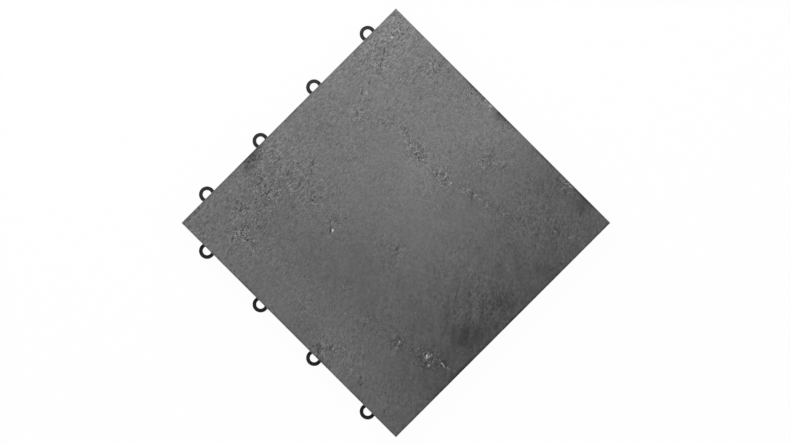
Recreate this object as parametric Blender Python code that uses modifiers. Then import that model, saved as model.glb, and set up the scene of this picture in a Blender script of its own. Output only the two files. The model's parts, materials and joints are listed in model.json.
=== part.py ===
"""Interlocking floor tile: a slab of riven slate bonded to a moulded plastic base.

The tile lies flat with +Z up, and its origin is on the floor under the middle of the slab. Rings stand
out from the base along its -X and -Y sides. Half-round posts hang under its +X and +Y sides, where they
drop into the rings of the next tiles. Units are metres.
"""

import math

import bmesh
import bpy
from mathutils import Matrix

# The slab
SLAB_SIDE = 0.300
SLAB_THICKNESS = 0.010
SLAB_ARRIS = 0.0005
GLUE_LINE = 0.0003

# The base as a whole
BASE_HEIGHT = 0.015
SLAB_OVERHANG = 0.001
CLIPS_PER_SIDE = 4
CELLS_PER_CLIP = 3

# Rim and ribs of the base
RIM_WALL = 0.0025
RIM_CORNER_RADIUS = 0.004
RIM_FLOOR_GAP = 0.0025
RIB_DROP = 0.0003
RIB_WALL = 0.002
RIB_DEPTH = 0.006
BEARER_WALL = 0.0016
BEARER_FLOOR_GAP = 0.003

# Feet: glue cups on the bearers, and solid stubs against the rim
CELLS_PER_CUP = 2
CUP_FOOT_RADIUS = 0.0060
CUP_TOP_RADIUS = 0.0070
CUP_BORE_RADIUS = 0.0048
CUP_DROP = 0.00015
CUP_FLOOR = 0.002
STUB_FOOT_RADIUS = 0.0042
STUB_TOP_RADIUS = 0.0050
STUB_INSET = 0.0005

# Rings on the -X and -Y sides
RING_OUTER_RADIUS = 0.0080
RING_BORE_RADIUS = 0.0045
RING_REACH = 0.002
RING_FLOOR_GAP = 0.0015
RING_THICKNESS = 0.004
RING_CHAMFER = 0.0009

# Posts and their pockets on the +X and +Y sides
JOINT_GAP = 0.001
POST_CLEARANCE = 0.0004
POST_FLOOR_GAP = 0.0008
POST_SET_BACK = 0.0002
POST_CHAMFER = 0.0007
POCKET_SIDE_CLEARANCE = 0.0012
POCKET_TOP_CLEARANCE = 0.0015
POCKET_CORNER_RADIUS = 0.0012
ROOF_DROP = 0.0003
ROOF_THICKNESS = 0.0028
ROOF_CORNER_RADIUS = 0.003

# Number of straight sides that stand for a full circle
CUP_SIDES = 12
STUB_SIDES = 12
RING_SIDES = 24
POST_SIDES = 24
CORNER_STEPS = 4

# Overlap between shapes that one Boolean joins, and how far a cutter runs past a face
JOIN = 0.001
OVERRUN = 0.002

# Edges that turn by more than this many degrees are shaded sharp
SHARP_TURN = 35

# Worked out from the sizes above
BASE_HALF = SLAB_SIDE / 2 - SLAB_OVERHANG
RIM_INNER_HALF = BASE_HALF - RIM_WALL
CLIP_PITCH = SLAB_SIDE / CLIPS_PER_SIDE
CELL_PITCH = CLIP_PITCH / CELLS_PER_CLIP
CELLS_PER_SIDE = CLIPS_PER_SIDE * CELLS_PER_CLIP
RIB_TOP = BASE_HEIGHT - RIB_DROP
RIB_BOTTOM = RIB_TOP - RIB_DEPTH
CUP_TOP = BASE_HEIGHT - CUP_DROP
RING_CENTRE = SLAB_SIDE / 2 + RING_REACH
RING_TOP = RING_FLOOR_GAP + RING_THICKNESS
POST_CENTRE = SLAB_SIDE / 2 + JOINT_GAP - RING_REACH
POST_RADIUS = RING_BORE_RADIUS - POST_CLEARANCE
POCKET_HALF_WIDTH = RING_OUTER_RADIUS + POCKET_SIDE_CLEARANCE
POCKET_TOP = RING_TOP + POCKET_TOP_CLEARANCE
SLAB_BOTTOM = BASE_HEIGHT + GLUE_LINE

CLIP_PLACES = [(i - (CLIPS_PER_SIDE - 1) / 2) * CLIP_PITCH for i in range(CLIPS_PER_SIDE)]
RIB_LINES = [(i - CELLS_PER_SIDE / 2) * CELL_PITCH for i in range(1, CELLS_PER_SIDE)]
CUP_LINES = [line for line in RIB_LINES if round(line / CELL_PITCH) % CELLS_PER_CUP == 0]
STUB_LINE = BASE_HALF - STUB_INSET - STUB_TOP_RADIUS
STUB_PLACES = [(i - CLIPS_PER_SIDE / 2) * CLIP_PITCH for i in range(1, CLIPS_PER_SIDE)]


def clear_scene():
    for old in list(bpy.data.objects):
        bpy.data.objects.remove(old, do_unlink=True)


def new_collection(name):
    made = bpy.data.collections.new(name)
    bpy.context.scene.collection.children.link(made)
    return made


def new_material(name, colour, roughness):
    made = bpy.data.materials.new(name)
    made.use_nodes = True
    shader = made.node_tree.nodes["Principled BSDF"]
    shader.inputs["Base Color"].default_value = (*colour, 1.0)
    shader.inputs["Roughness"].default_value = roughness
    shader.inputs["Metallic"].default_value = 0.0
    return made


def add_object(name, mesh, collection, helper=True):
    """Puts a mesh in a collection. A helper is a shape that a Boolean joins or cuts with."""
    made = bpy.data.objects.new(name, mesh)
    collection.objects.link(made)
    made.hide_render = helper
    made.display_type = "WIRE" if helper else "TEXTURED"
    return made


def mesh_of(bm, name):
    mesh = bpy.data.meshes.new(name)
    bmesh.ops.recalc_face_normals(bm, faces=bm.faces)
    bm.to_mesh(mesh)
    bm.free()
    return mesh


def arc(centre_x, centre_y, radius, start, end, steps):
    """Points of an arc between two angles in degrees, both ends included."""
    turn = [math.radians(start + (end - start) * i / steps) for i in range(steps + 1)]
    return [(centre_x + radius * math.cos(a), centre_y + radius * math.sin(a)) for a in turn]


def rounded_box_outline(x0, x1, y0, y1, radius):
    """Outline of a rectangle with round corners, or with sharp ones where the radius is 0."""
    if radius <= 0:
        return [(x0, y0), (x1, y0), (x1, y1), (x0, y1)]
    return [
        *arc(x1 - radius, y0 + radius, radius, -90, 0, CORNER_STEPS),
        *arc(x1 - radius, y1 - radius, radius, 0, 90, CORNER_STEPS),
        *arc(x0 + radius, y1 - radius, radius, 90, 180, CORNER_STEPS),
        *arc(x0 + radius, y0 + radius, radius, 180, 270, CORNER_STEPS),
    ]


def set_levels(bm, bottom, top):
    """Sets the height of a shape centred on z = 0, so that level faces of two shapes agree exactly."""
    for vertex in bm.verts:
        vertex.co.z = bottom if vertex.co.z < 0 else top


def plate_mesh(name, outlines, bottom, top):
    """Flat outlines, the later ones being holes in the first, filled and extruded from bottom to top."""
    curve = bpy.data.curves.new(name, "CURVE")
    curve.dimensions = "2D"
    curve.fill_mode = "BOTH"
    curve.extrude = (top - bottom) / 2
    for outline in outlines:
        spline = curve.splines.new("POLY")
        spline.points.add(len(outline) - 1)
        for point, (x, y) in zip(spline.points, outline):
            point.co = (x, y, 0.0, 1.0)
        spline.use_cyclic_u = True
    drawn = bpy.data.objects.new(name, curve)
    bpy.context.scene.collection.objects.link(drawn)
    graph = bpy.context.evaluated_depsgraph_get()
    raw = bpy.data.meshes.new_from_object(drawn.evaluated_get(graph))
    bpy.data.objects.remove(drawn)
    bm = bmesh.new()
    bm.from_mesh(raw)
    bmesh.ops.remove_doubles(bm, verts=bm.verts, dist=1e-6)
    set_levels(bm, bottom, top)
    bmesh.ops.dissolve_limit(bm, angle_limit=math.radians(1), verts=bm.verts, edges=bm.edges)
    return mesh_of(bm, name)


def cone_mesh(name, foot_radius, top_radius, bottom, top, sides):
    bm = bmesh.new()
    bmesh.ops.create_cone(
        bm,
        cap_ends=True,
        segments=sides,
        radius1=foot_radius,
        radius2=top_radius,
        depth=top - bottom,
    )
    set_levels(bm, bottom, top)
    return mesh_of(bm, name)


def facing(side, along):
    """Placement on a side of the tile. Local +X points out of the tile, and along runs along its edge."""
    cosine, sine = {"+X": (1, 0), "+Y": (0, 1), "-X": (-1, 0), "-Y": (0, -1)}[side]
    turn = Matrix(((cosine, -sine, 0, 0), (sine, cosine, 0, 0), (0, 0, 1, 0), (0, 0, 0, 1)))
    shift = along if side in ("+X", "-Y") else -along
    return turn @ Matrix.Translation((0, shift, 0))


def lattice_mesh():
    """The ribs: a grid stretched so that its lines fall on their faces, with the cells left out."""
    reach = RIM_INNER_HALF + JOIN
    lines = [-reach]
    for middle in RIB_LINES:
        lines += [middle - RIB_WALL / 2, middle + RIB_WALL / 2]
    lines.append(reach)
    strips = len(lines) - 1
    bm = bmesh.new()
    bmesh.ops.create_grid(bm, x_segments=strips, y_segments=strips, size=1)

    def line_at(place):
        return round((place + 1) / 2 * strips)

    def in_cell(face):
        middle = face.calc_center_median()
        column = int((middle.x + 1) / 2 * strips)
        row = int((middle.y + 1) / 2 * strips)
        return column % 2 == 0 and row % 2 == 0

    cells = [face for face in bm.faces if in_cell(face)]
    bmesh.ops.delete(bm, geom=cells, context="FACES")
    for vertex in bm.verts:
        vertex.co = (lines[line_at(vertex.co.x)], lines[line_at(vertex.co.y)], -1)
    raised = bmesh.ops.extrude_face_region(bm, geom=list(bm.faces))["geom"]
    for item in raised:
        if isinstance(item, bmesh.types.BMVert):
            item.co.z = 1
    set_levels(bm, RIB_BOTTOM, RIB_TOP)
    return mesh_of(bm, "ribs")


def rim_mesh():
    """The wall round the base, from its top down to just above the floor."""
    outer = rounded_box_outline(-BASE_HALF, BASE_HALF, -BASE_HALF, BASE_HALF, RIM_CORNER_RADIUS)
    inner = rounded_box_outline(
        -RIM_INNER_HALF,
        RIM_INNER_HALF,
        -RIM_INNER_HALF,
        RIM_INNER_HALF,
        max(RIM_CORNER_RADIUS - RIM_WALL, 0),
    )
    return plate_mesh("rim", [outer, inner], RIM_FLOOR_GAP, BASE_HEIGHT)


def add_bearers(collection):
    """The deeper, thinner ribs that run from foot to foot under every second rib."""
    reach = RIM_INNER_HALF + JOIN
    half = BEARER_WALL / 2
    outline = rounded_box_outline(-reach, reach, -half, half, 0)
    mesh = plate_mesh("bearer", [outline], BEARER_FLOOR_GAP, RIB_BOTTOM + JOIN)
    for line in CUP_LINES:
        for side in ("+X", "+Y"):
            turned = facing(side, 0) @ Matrix.Translation((0, line, 0))
            add_object("bearer", mesh, collection).matrix_world = turned


def add_cups(joined, cutters):
    """Round cups on the crossings of the bearers: the closed foot stands on the floor, the mouth takes glue."""
    cup = cone_mesh("cup", CUP_FOOT_RADIUS, CUP_TOP_RADIUS, 0, CUP_TOP, CUP_SIDES)
    bore = cone_mesh(
        "cup_bore", CUP_BORE_RADIUS, CUP_BORE_RADIUS, CUP_FLOOR, BASE_HEIGHT + OVERRUN, CUP_SIDES
    )
    for x in CUP_LINES:
        for y in CUP_LINES:
            add_object("cup", cup, joined).location = (x, y, 0)
            add_object("cup_bore", bore, cutters).location = (x, y, 0)


def add_stubs(collection):
    """Solid feet inside the rim, between the clips and in the four corners."""
    stub = cone_mesh(
        "stub", STUB_FOOT_RADIUS, STUB_TOP_RADIUS, 0, RIB_BOTTOM + JOIN, STUB_SIDES
    )
    places = [(x, y) for x in (-STUB_LINE, STUB_LINE) for y in (-STUB_LINE, STUB_LINE)]
    for end in (-STUB_LINE, STUB_LINE):
        places += [(end, place) for place in STUB_PLACES]
        places += [(place, end) for place in STUB_PLACES]
    for x, y in places:
        add_object("stub", stub, collection).location = (x, y, 0)


def ring_mesh():
    """Section of a ring, chamfered on its upper edges, as an open profile for a Screw modifier."""
    bore, outer, edge = RING_BORE_RADIUS, RING_OUTER_RADIUS, RING_CHAMFER
    low, high = RING_FLOOR_GAP, RING_TOP
    profile = [
        (bore + edge, high),
        (outer - edge, high),
        (outer, high - edge),
        (outer, low),
        (bore, low),
        (bore, high - edge),
    ]
    mesh = bpy.data.meshes.new("ring")
    corners = [(x, 0, z) for x, z in profile]
    sides = [(i, (i + 1) % len(profile)) for i in range(len(profile))]
    mesh.from_pydata(corners, sides, [])
    return mesh


def add_rings(collection):
    """The rings that take the next tiles' posts, fused through the rim on the -X and -Y sides."""
    mesh = ring_mesh()
    for side in ("-X", "-Y"):
        for place in CLIP_PLACES:
            ring = add_object("ring", mesh, collection)
            ring.matrix_world = facing(side, place) @ Matrix.Translation((RING_CENTRE, 0, 0))
            turned = ring.modifiers.new("turned", "SCREW")
            turned.axis = "Z"
            turned.steps = RING_SIDES
            turned.render_steps = RING_SIDES
            turned.use_merge_vertices = True
            turned.merge_threshold = 1e-5


def post_mesh():
    """A half-round post, flat on its outer side, with its tip chamfered."""
    flat = BASE_HALF - POST_SET_BACK - POST_CENTRE
    start = math.degrees(math.acos(max(-1.0, min(1.0, flat / POST_RADIUS))))
    steps = round(POST_SIDES * (360 - 2 * start) / 360)
    outline = arc(0, 0, POST_RADIUS, start, 360 - start, steps)
    mesh = plate_mesh("post", [outline], POST_FLOOR_GAP, POCKET_TOP + JOIN)
    bm = bmesh.new()
    bm.from_mesh(mesh)
    tip_height = POST_FLOOR_GAP + POST_CHAMFER / 2
    tip = [e for e in bm.edges if all(v.co.z < tip_height for v in e.verts)]
    bmesh.ops.bevel(bm, geom=tip, offset=POST_CHAMFER, segments=1, affect="EDGES")
    return mesh_of(bm, "post")


def roof_mesh():
    """The web over a pocket, which spans between two ribs and carries the post."""
    half = CELL_PITCH / 2
    inner = POST_CENTRE - RING_OUTER_RADIUS - POCKET_SIDE_CLEARANCE - RIB_WALL
    outline = rounded_box_outline(
        inner, RIM_INNER_HALF + JOIN, -half, half, ROOF_CORNER_RADIUS
    )
    bottom = POCKET_TOP - ROOF_DROP
    return plate_mesh("roof", [outline], bottom, bottom + ROOF_THICKNESS)


def pocket_mesh():
    """Cutter for the way into a pocket: a slot through the rim, open below, with round upper corners."""
    below = RIM_FLOOR_GAP - OVERRUN - POCKET_CORNER_RADIUS
    outline = rounded_box_outline(
        -POCKET_TOP, -below, -POCKET_HALF_WIDTH, POCKET_HALF_WIDTH, POCKET_CORNER_RADIUS
    )
    mesh = plate_mesh("pocket", [outline], RIM_INNER_HALF - OVERRUN, BASE_HALF + OVERRUN)
    # The outline is drawn with height along -X, so a quarter turn about Y stands the slot upright.
    mesh.transform(Matrix(((0, 0, 1, 0), (0, 1, 0, 0), (-1, 0, 0, 0), (0, 0, 0, 1))))
    return mesh


def add_posts(joined, cutters):
    """The posts, their roofs and the pockets round them, on the +X and +Y sides."""
    post, roof, pocket = post_mesh(), roof_mesh(), pocket_mesh()
    for side in ("+X", "+Y"):
        for place in CLIP_PLACES:
            placed = facing(side, place)
            add_object("pocket", pocket, cutters).matrix_world = placed
            add_object("roof", roof, joined).matrix_world = placed
            hung = add_object("post", post, joined)
            hung.matrix_world = placed @ Matrix.Translation((POST_CENTRE, 0, 0))


def boolean(target, name, operation, collection):
    made = target.modifiers.new(name, "BOOLEAN")
    made.operation = operation
    made.operand_type = "COLLECTION"
    made.collection = collection
    made.solver = "EXACT"


def apply_modifiers(item):
    """Swaps an object's mesh for what its modifiers make of it, with round walls shaded smooth."""
    graph = bpy.context.evaluated_depsgraph_get()
    mesh = bpy.data.meshes.new_from_object(item.evaluated_get(graph))
    item.modifiers.clear()
    item.data = mesh
    mesh.name = item.name
    mesh.shade_smooth()
    mesh.set_sharp_from_angle(angle=math.radians(SHARP_TURN))


def make_base(parts, walls, cutters, clips):
    """The moulding: rim, ribs and feet joined, cups and pockets cut, then the clips joined."""
    base = add_object("base_grid", rim_mesh(), parts, helper=False)
    add_object("ribs", lattice_mesh(), walls)
    add_bearers(walls)
    add_cups(walls, cutters)
    add_stubs(walls)
    add_posts(clips, cutters)
    add_rings(clips)
    boolean(base, "join_walls", "UNION", walls)
    boolean(base, "cut_cups_and_pockets", "DIFFERENCE", cutters)
    boolean(base, "join_clips", "UNION", clips)
    apply_modifiers(base)
    base.data.materials.append(new_material("black_plastic", (0.012, 0.012, 0.013), 0.45))
    return base


def make_slab(parts):
    """The slab, sawn square, with its arrises eased."""
    half = SLAB_SIDE / 2
    outline = rounded_box_outline(-half, half, -half, half, 0)
    mesh = plate_mesh("slate_slab", [outline], SLAB_BOTTOM, SLAB_BOTTOM + SLAB_THICKNESS)
    slab = add_object("slate_slab", mesh, parts, helper=False)
    eased = slab.modifiers.new("arris", "BEVEL")
    eased.width = SLAB_ARRIS
    eased.segments = 1
    eased.limit_method = "ANGLE"
    slab.data.materials.append(new_material("slate", (0.15, 0.15, 0.152), 0.6))
    return slab


def main():
    clear_scene()
    parts = new_collection("interlocking_floor_tile")
    walls = new_collection("base_walls")
    cutters = new_collection("base_cutters")
    clips = new_collection("base_clips")
    make_base(parts, walls, cutters, clips)
    make_slab(parts)


main()
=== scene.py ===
"""Interlocking floor tile: riven slate on a black plastic grid, dressed for rendering.

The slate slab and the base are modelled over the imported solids, which give every overall size. The tile
lies flat with +Z up: its rings stand out along -X and -Y, and the photograph's upper corner is at -X +Y.
Units are metres, except in the relief functions, which work in millimetres.
"""

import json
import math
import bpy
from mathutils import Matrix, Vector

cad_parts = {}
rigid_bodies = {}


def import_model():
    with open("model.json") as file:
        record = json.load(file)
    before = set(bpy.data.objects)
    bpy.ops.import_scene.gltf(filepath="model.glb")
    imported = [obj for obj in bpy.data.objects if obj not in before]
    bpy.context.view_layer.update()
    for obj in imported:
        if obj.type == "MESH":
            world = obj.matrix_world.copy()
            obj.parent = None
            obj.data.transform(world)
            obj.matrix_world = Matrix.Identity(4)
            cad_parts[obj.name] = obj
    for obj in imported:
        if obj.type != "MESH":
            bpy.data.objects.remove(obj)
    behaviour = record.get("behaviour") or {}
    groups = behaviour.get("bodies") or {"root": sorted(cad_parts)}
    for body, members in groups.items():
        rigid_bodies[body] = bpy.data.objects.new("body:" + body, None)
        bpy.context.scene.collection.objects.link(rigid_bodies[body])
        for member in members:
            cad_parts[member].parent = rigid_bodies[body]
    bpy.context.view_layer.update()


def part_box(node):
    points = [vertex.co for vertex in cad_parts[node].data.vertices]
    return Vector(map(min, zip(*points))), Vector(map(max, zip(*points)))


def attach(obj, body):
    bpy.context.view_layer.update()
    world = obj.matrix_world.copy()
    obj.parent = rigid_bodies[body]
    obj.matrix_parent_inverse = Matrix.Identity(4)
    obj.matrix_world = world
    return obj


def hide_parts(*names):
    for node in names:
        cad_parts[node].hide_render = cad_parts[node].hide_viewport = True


bl_info = {
    "name": "Slate Deck Tile",
    "version": (1, 0, 0),
    "blender": (4, 5, 0),
    "location": "View3D > Sidebar > Deck Tile",
    "description": "Builds a riven slate floor tile on a clip-together plastic base",
    "category": "Add Mesh",
}

import bmesh
import bpy
import numpy as np
from bpy.props import FloatProperty, FloatVectorProperty, IntProperty, PointerProperty
from mathutils import Matrix, Vector

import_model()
SLAB_LOW, SLAB_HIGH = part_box("slate_slab")
BASE_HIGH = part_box("base_grid")[1]
MM = 0.001

SLAB_HALF = SLAB_HIGH.x / MM
SLAB_THICKNESS = (SLAB_HIGH.z - SLAB_LOW.z) / MM

# The photograph in pixels: its width and centre, and the slab's side and centre as counted there
PHOTO_WIDTH_PX = 790
SLAB_SIDE_PX = 303.4
SLAB_CENTRE_PX = (395.4, 222.4)
PHOTO_CENTRE_PX = (394.5, 221.5)

# The moulded base, in metres: rim, ribs and bearers
BASE_HEIGHT = BASE_HIGH.z
BASE_HALF = BASE_HIGH.x
RIM_WALL = 0.0025
RIM_INNER_HALF = BASE_HALF - RIM_WALL
RIM_CORNER_RADIUS = 0.004
RIM_FLOOR_GAP = 0.0025
RIB_WALL = 0.002
RIB_TOP = 0.0147
RIB_BOTTOM = 0.0087
CELL_PITCH = 0.025
BEARER_WALL = 0.0016
BEARER_FLOOR_GAP = 0.003

# Feet: glue cups and solid stubs
CUP_FOOT_RADIUS = 0.0060
CUP_TOP_RADIUS = 0.0070
CUP_BORE_RADIUS = 0.0048
CUP_TOP = 0.01485
CUP_FLOOR = 0.002
STUB_FOOT_RADIUS = 0.0042
STUB_TOP_RADIUS = 0.0050
STUB_LINE = 0.1435

# Rings, posts and the pockets round the posts. The bores are 0.2 mm tighter than the solids', so that
# the rings look as bold as the photograph's.
RING_OUTER_RADIUS = 0.0080
RING_BORE_RADIUS = 0.0043
RING_CENTRE = 0.152
RING_FLOOR_GAP = 0.0015
RING_TOP = 0.0055
RING_EDGE_RADIUS = 0.0005
POST_CENTRE = 0.149
POST_RADIUS = 0.0041
POST_FLOOR_GAP = 0.0008
POST_SET_BACK = 0.0002
POST_TIP_RADIUS = 0.0008
POCKET_HALF_WIDTH = 0.0092
POCKET_TOP = 0.007
POCKET_SIDE_CLEARANCE = 0.0012
POCKET_CORNER_RADIUS = 0.0012
ROOF_DROP = 0.0003
ROOF_THICKNESS = 0.0028
ROOF_CORNER_RADIUS = 0.003

# Overlap between joined shapes, how far a cutter runs past a face, and how near counts as the same level
JOIN = 0.001
OVERRUN = 0.002
LEVEL_TOLERANCE = 1e-6

# Scales of the materials' noises, in swells to a metre
STROKE_SCALE, CREST_SCALE, MARK_SCALE, SPECK_SCALE = 640, 270, 520, 880
FINE_SCALE, LAYER_SCALE, SHEEN_SCALE = 900, 1400, 120
MOULD_SCALE, RUB_SCALE = 1800, 60
MOULD_DEPTH = 0.00004
SAWN_SHADES = (0.085, 0.185)
SLATE_SPECULAR, PLASTIC_SPECULAR = 0.35, 0.12

# The main lamp's distance and width, in metres
KEY_DISTANCE, KEY_SIZE = 2.0, 0.9

RIB_LINES = [index * CELL_PITCH for index in range(-5, 6)]
CUP_LINES = [index * CELL_PITCH for index in range(-4, 5, 2)]
CLIP_PITCH = 3 * CELL_PITCH
CLIP_PLACES = [(index + 0.5) * CLIP_PITCH for index in range(-2, 2)]
STUB_PLACES = [index * CLIP_PITCH for index in range(-1, 2)]

# Relief of the riven face in millimetres: how high and how wide its swells, planes, skins and flakes are
ROLL_HEIGHT, ROLL_WIDTH = 0.45, 150
WARP_REACH, WARP_WIDTH = 6, 30
STEP_HALF_RUN, STEP_FADE = 1.6, 55
PLANE_HEIGHT, PLANE_WIDTH = 0.16, 120
SKIN_HEIGHT, SKIN_WIDTH = 0.06, 34
FLAKE_HEIGHT, LEDGE_HEIGHT, FLAKE_WIDTH = 0.9, 0.35, 6.0
GRAIN_WIDTH = 4.4

# Grey levels of the riven face, 0 to 255 as the eye sees them, over places in millimetres
CLOUD_GREY, SMEAR_GREY, STROKE_GREY, GRAIN_GREY = 8, 4, 30, 12
BRIGHT_FLAKE_GREY, DARK_FLAKE_GREY = 56, 62
TONE_MIDDLE = 100.4
# Painted light in part: the slope below makes the face lighter towards -X and +Y, the corner the main lamp
# stands at, and darker towards +X. It stands partly for the lamp's sheen and partly for the slab's own tone.
TONE_PER_MM_X = -0.10
TONE_PER_MM_Y = 0.065
TONE_Y_ENDS_AT_X = 110
TONE_Y_FADES_OVER = 100
# Lighter and darker places: x, y, radius, and the change of grey. Those wider than this
# are streaky.
STREAKY_OVER = 30
TONE_PLACES = (
    (150, -8, 58, -16), (-22, 40, 55, 6), (-20, 120, 30, 4), (50, -135, 45, 10), (-10, -78, 50, -5),
    (120, -75, 40, -7), (128, -28, 14, -19), (-125, -75, 36, -7), (125, 110, 40, -4), (-110, 40, 40, -3),
    (75, 130, 30, -4), (148, 48, 42, -9), (142, -72, 30, -6), (50, -55, 42, -5), (-37, -36, 24, 4),
    (118, 145, 9, -16), (-85, 128, 34, -4), (40, 100, 46, -3), (-140, 12, 20, -5), (142, 14, 18, -4),
    (-30, -150, 38, 4), (115, -148, 34, 4), (-138, -48, 28, 4), (-78, -86, 24, -3), (46, 145, 6, -12),
    (102, 98, 22, 5), (-138, -15, 16, 3), (50, -130, 60, 2), (90, 137, 20, -3), (113, 128, 14, 4),
    (50, -86, 20, -3), (136, -62, 12, -4), (138, 76, 16, -5), (-138, -88, 18, 4), (-90, -144, 40, 2),
    (67, 83, 6, -6),
)
# The grain turns from one side's direction to the other's between these places across the face
FAN_FROM_TO = (-95, 70)
# The face is calmest at this place, and livelier towards this far away
CALM_AT = (40, 15)
CALM_REACH = 170
# Places where the fine relief is livelier: x, y, radius, and how much
LIVELY_PLACES = (
    (-103, -38, 30, 0.75), (-135, 115, 32, 0.45), (-140, -60, 26, 0.5), (-98, -112, 26, 0.5),
    (-15, 66, 34, 0.4), (122, 5, 30, 0.9), (20, -22, 16, 0.4), (-55, -42, 22, 0.6), (18, 106, 16, 0.4),
    (95, 95, 40, 0.4), (40, -138, 30, 0.4), (-40, 135, 40, 0.2),
)

# Lines where a lamina of the slate ends in a ragged step. The side to the left along a line is higher.
LAMINA_EDGES = (
    ((-61, 71), (-34, 63), (2, 66), (38, 78), (72, 83), (95, 96)),
    ((64, -83), (85, -83), (116, -71), (138, -63)),
)

# Flaky patches: x, y, radius in millimetres, and how rough the patch is
FLAKY_PATCHES = (
    (-34, 65, 10, 1.0), (0, 66, 9, 0.9), (20, 105, 7, 0.9), (34, 115, 5, 0.8), (-81, 136, 9, 0.6),
    (-134, 139, 9, 0.6), (-119, 98, 5, 1.1), (-101, 49, 9, 0.6), (-81, 26, 9, 0.4), (-64, -17, 8, 0.4),
    (-74, -40, 9, 0.6), (-111, -70, 12, 0.7), (-126, -66, 8, 0.8), (-119, -96, 10, 0.6),
    (-99, -115, 8, 1.4), (-86, -117, 8, 0.6), (-46, -43, 8, 0.7), (19, -17, 9, 0.4), (9, -78, 8, 0.4),
    (84, -82, 8, 0.9), (117, -72, 10, 1.3), (-5, -123, 10, 0.4), (38, -139, 8, 0.6), (115, 107, 12, 0.35),
    (49, -89, 9, 0.4), (-76, 61, 8, 0.6), (-40, 146, 5, 0.8), (-27, 145, 5, 0.7), (10, 146, 6, 0.5),
    (95, 100, 9, 0.35), (92, 146, 8, 0.9),
)

# Single marks read from the photograph: x, y, half length along the grain, half width, and the change
# of grey at the middle
FACE_MARKS = (
    (-3, 146.5, 5, 3.0, -34), (83, 143, 4, 1.2, -24), (122, 138, 4, 1.3, -30), (-135, 137, 5, 2.0, 28),
    (44, 76, 2.4, 0.8, 20), (51, 76, 2.4, 0.8, 20), (22, 104, 1.6, 0.9, 34), (21.7, 100, 1.4, 0.8, 28),
    (20, 110.8, 2.4, 1.2, -30), (17, 117.5, 3, 0.8, -28), (34, 115, 2.4, 0.8, 34), (34, 130, 3, 1.6, -16),
    (102, 40, 6, 2.4, -20), (128, 14, 7, 3.0, -18), (-100, -20, 7, 1.0, -26), (-38, -31, 2, 1.4, -36),
    (-109, -54, 5, 1.2, -26), (-82, -61, 1.6, 1.3, -44), (-145, -55, 9, 4.5, -45),
    (-120, -95, 4, 1.5, -26), (19, -16, 6, 1.2, -26), (-143, -66, 6, 3.0, -30), (-142, -47, 6, 2.4, -26),
    (6, -25, 2, 1.3, -28), (106.5, -70.6, 3, 0.9, -26), (88, -89, 7, 1.3, 24), (112, -63.4, 2, 1.2, -22),
    (114, -82, 1.8, 1.2, -24), (34, -143, 5, 1.8, -32), (53, -146, 3, 1.6, -30), (85, -136, 5, 1.0, -38),
    (124, -141, 2.4, 1.4, -46),
)

# Fine cracks and bright lines: the change of grey, half the width, and the points they run through
FACE_LINES = (
    (-24, 0.6, ((-48, -42), (-46, -47))),
    (-26, 0.6, ((131, -63.4), (134, -64.2), (137, -64.6))),
    (20, 0.5, ((137.8, -65.6), (142, -63), (148, -60.5))),
    (-26, 0.6, ((-110.6, 63), (-109.6, 58))),
    (20, 0.5, ((-113, 72), (-108.5, 60))),
    (-34, 0.6, ((-147.4, -147), (-147, -127))),
    (14, 0.6, ((-145.2, -143), (-144.8, -122))),
    (-24, 0.6, ((-131, 116), (-125, 106), (-120, 99))),
    (-18, 0.6, ((88, 0), (96, -14), (101, -30))),
)

# How strongly a crisp mark stands out from the face in grey levels, graded
FAINT, CLEAR, STRONG, STARK = 28, 45, 68, 100

# Crisp strokes, read to half a millimetre: the two ends, half the width, and the change of grey
FACE_STROKES = (
    (114, -70.5, 116, -73, 0.7, STARK), (117, -67, 119, -69, 0.7, CLEAR),
    (117, -70, 118, -72, 0.7, CLEAR), (110, -72, 113, -74, 0.8, FAINT),
    (118.5, -74.5, 118.5, -77, 0.7, CLEAR), (121.5, -74, 123, -77, 0.9, STRONG),
    (121.5, -68, 123, -72, 0.7, FAINT), (103, -72, 104, -76, 1.0, FAINT),
    (115.5, -67, 117, -65, 0.6, -CLEAR), (130, -66, 135, -67, 0.7, STRONG),
    (-30, 62, -28.5, 60, 0.7, -STRONG), (-28.5, 64, -27, 63, 0.6, -CLEAR),
    (-43, 71, -41.5, 69.5, 0.6, -FAINT), (-6, 64, -4.5, 62, 0.6, -CLEAR), (2, 69, 2, 66, 0.7, CLEAR),
    (25, 68, 26, 69, 0.6, FAINT), (33, 73, 36, 70, 0.6, -FAINT), (36, 70, 41, 65, 0.6, -FAINT),
    (35.5, 73, 38, 77, 0.7, FAINT), (-16.5, 148, -14.5, 148, 0.7, STRONG),
    (-23.5, 148, -21, 148, 0.6, CLEAR), (88.5, 147, 88, 145, 0.7, CLEAR),
    (91, 146, 93.5, 148, 0.6, CLEAR), (96, 147.5, 98.5, 147.5, 0.7, STRONG),
    (132, 110.5, 133, 112, 0.8, CLEAR), (117.5, 105, 118.5, 106, 0.6, CLEAR),
    (-117, 80.5, -116, 78.5, 0.7, -CLEAR), (-116.5, 69.5, -114.5, 66, 0.7, -CLEAR),
    (-118, 69, -116.5, 67.5, 0.6, FAINT), (-112, 71.5, -110.5, 69.5, 0.7, FAINT),
    (-130, 114, -126.5, 110.5, 0.6, -FAINT), (-94, -40, -94.5, -43, 0.8, -CLEAR),
    (-103, -124, -103, -127, 0.6, -CLEAR), (-122, -66, -123.5, -69.5, 0.6, -CLEAR),
    (-97, -21.5, -94, -24, 0.6, -CLEAR), (-101.5, -14, -99, -17, 0.7, -FAINT),
    (41.5, -130, 42, -136, 0.8, -CLEAR), (43, -128, 44, -132, 0.6, FAINT),
    (88, -136, 89, -139, 0.7, -CLEAR), (-39.5, -49, -38, -50.5, 0.8, STARK),
    (-43.5, -47.5, -41.5, -49.5, 0.6, -FAINT), (-41, -50, -39.5, -52, 0.7, -STRONG),
    (-40.5, -45, -39.5, -46.5, 0.6, FAINT),
)

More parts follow.
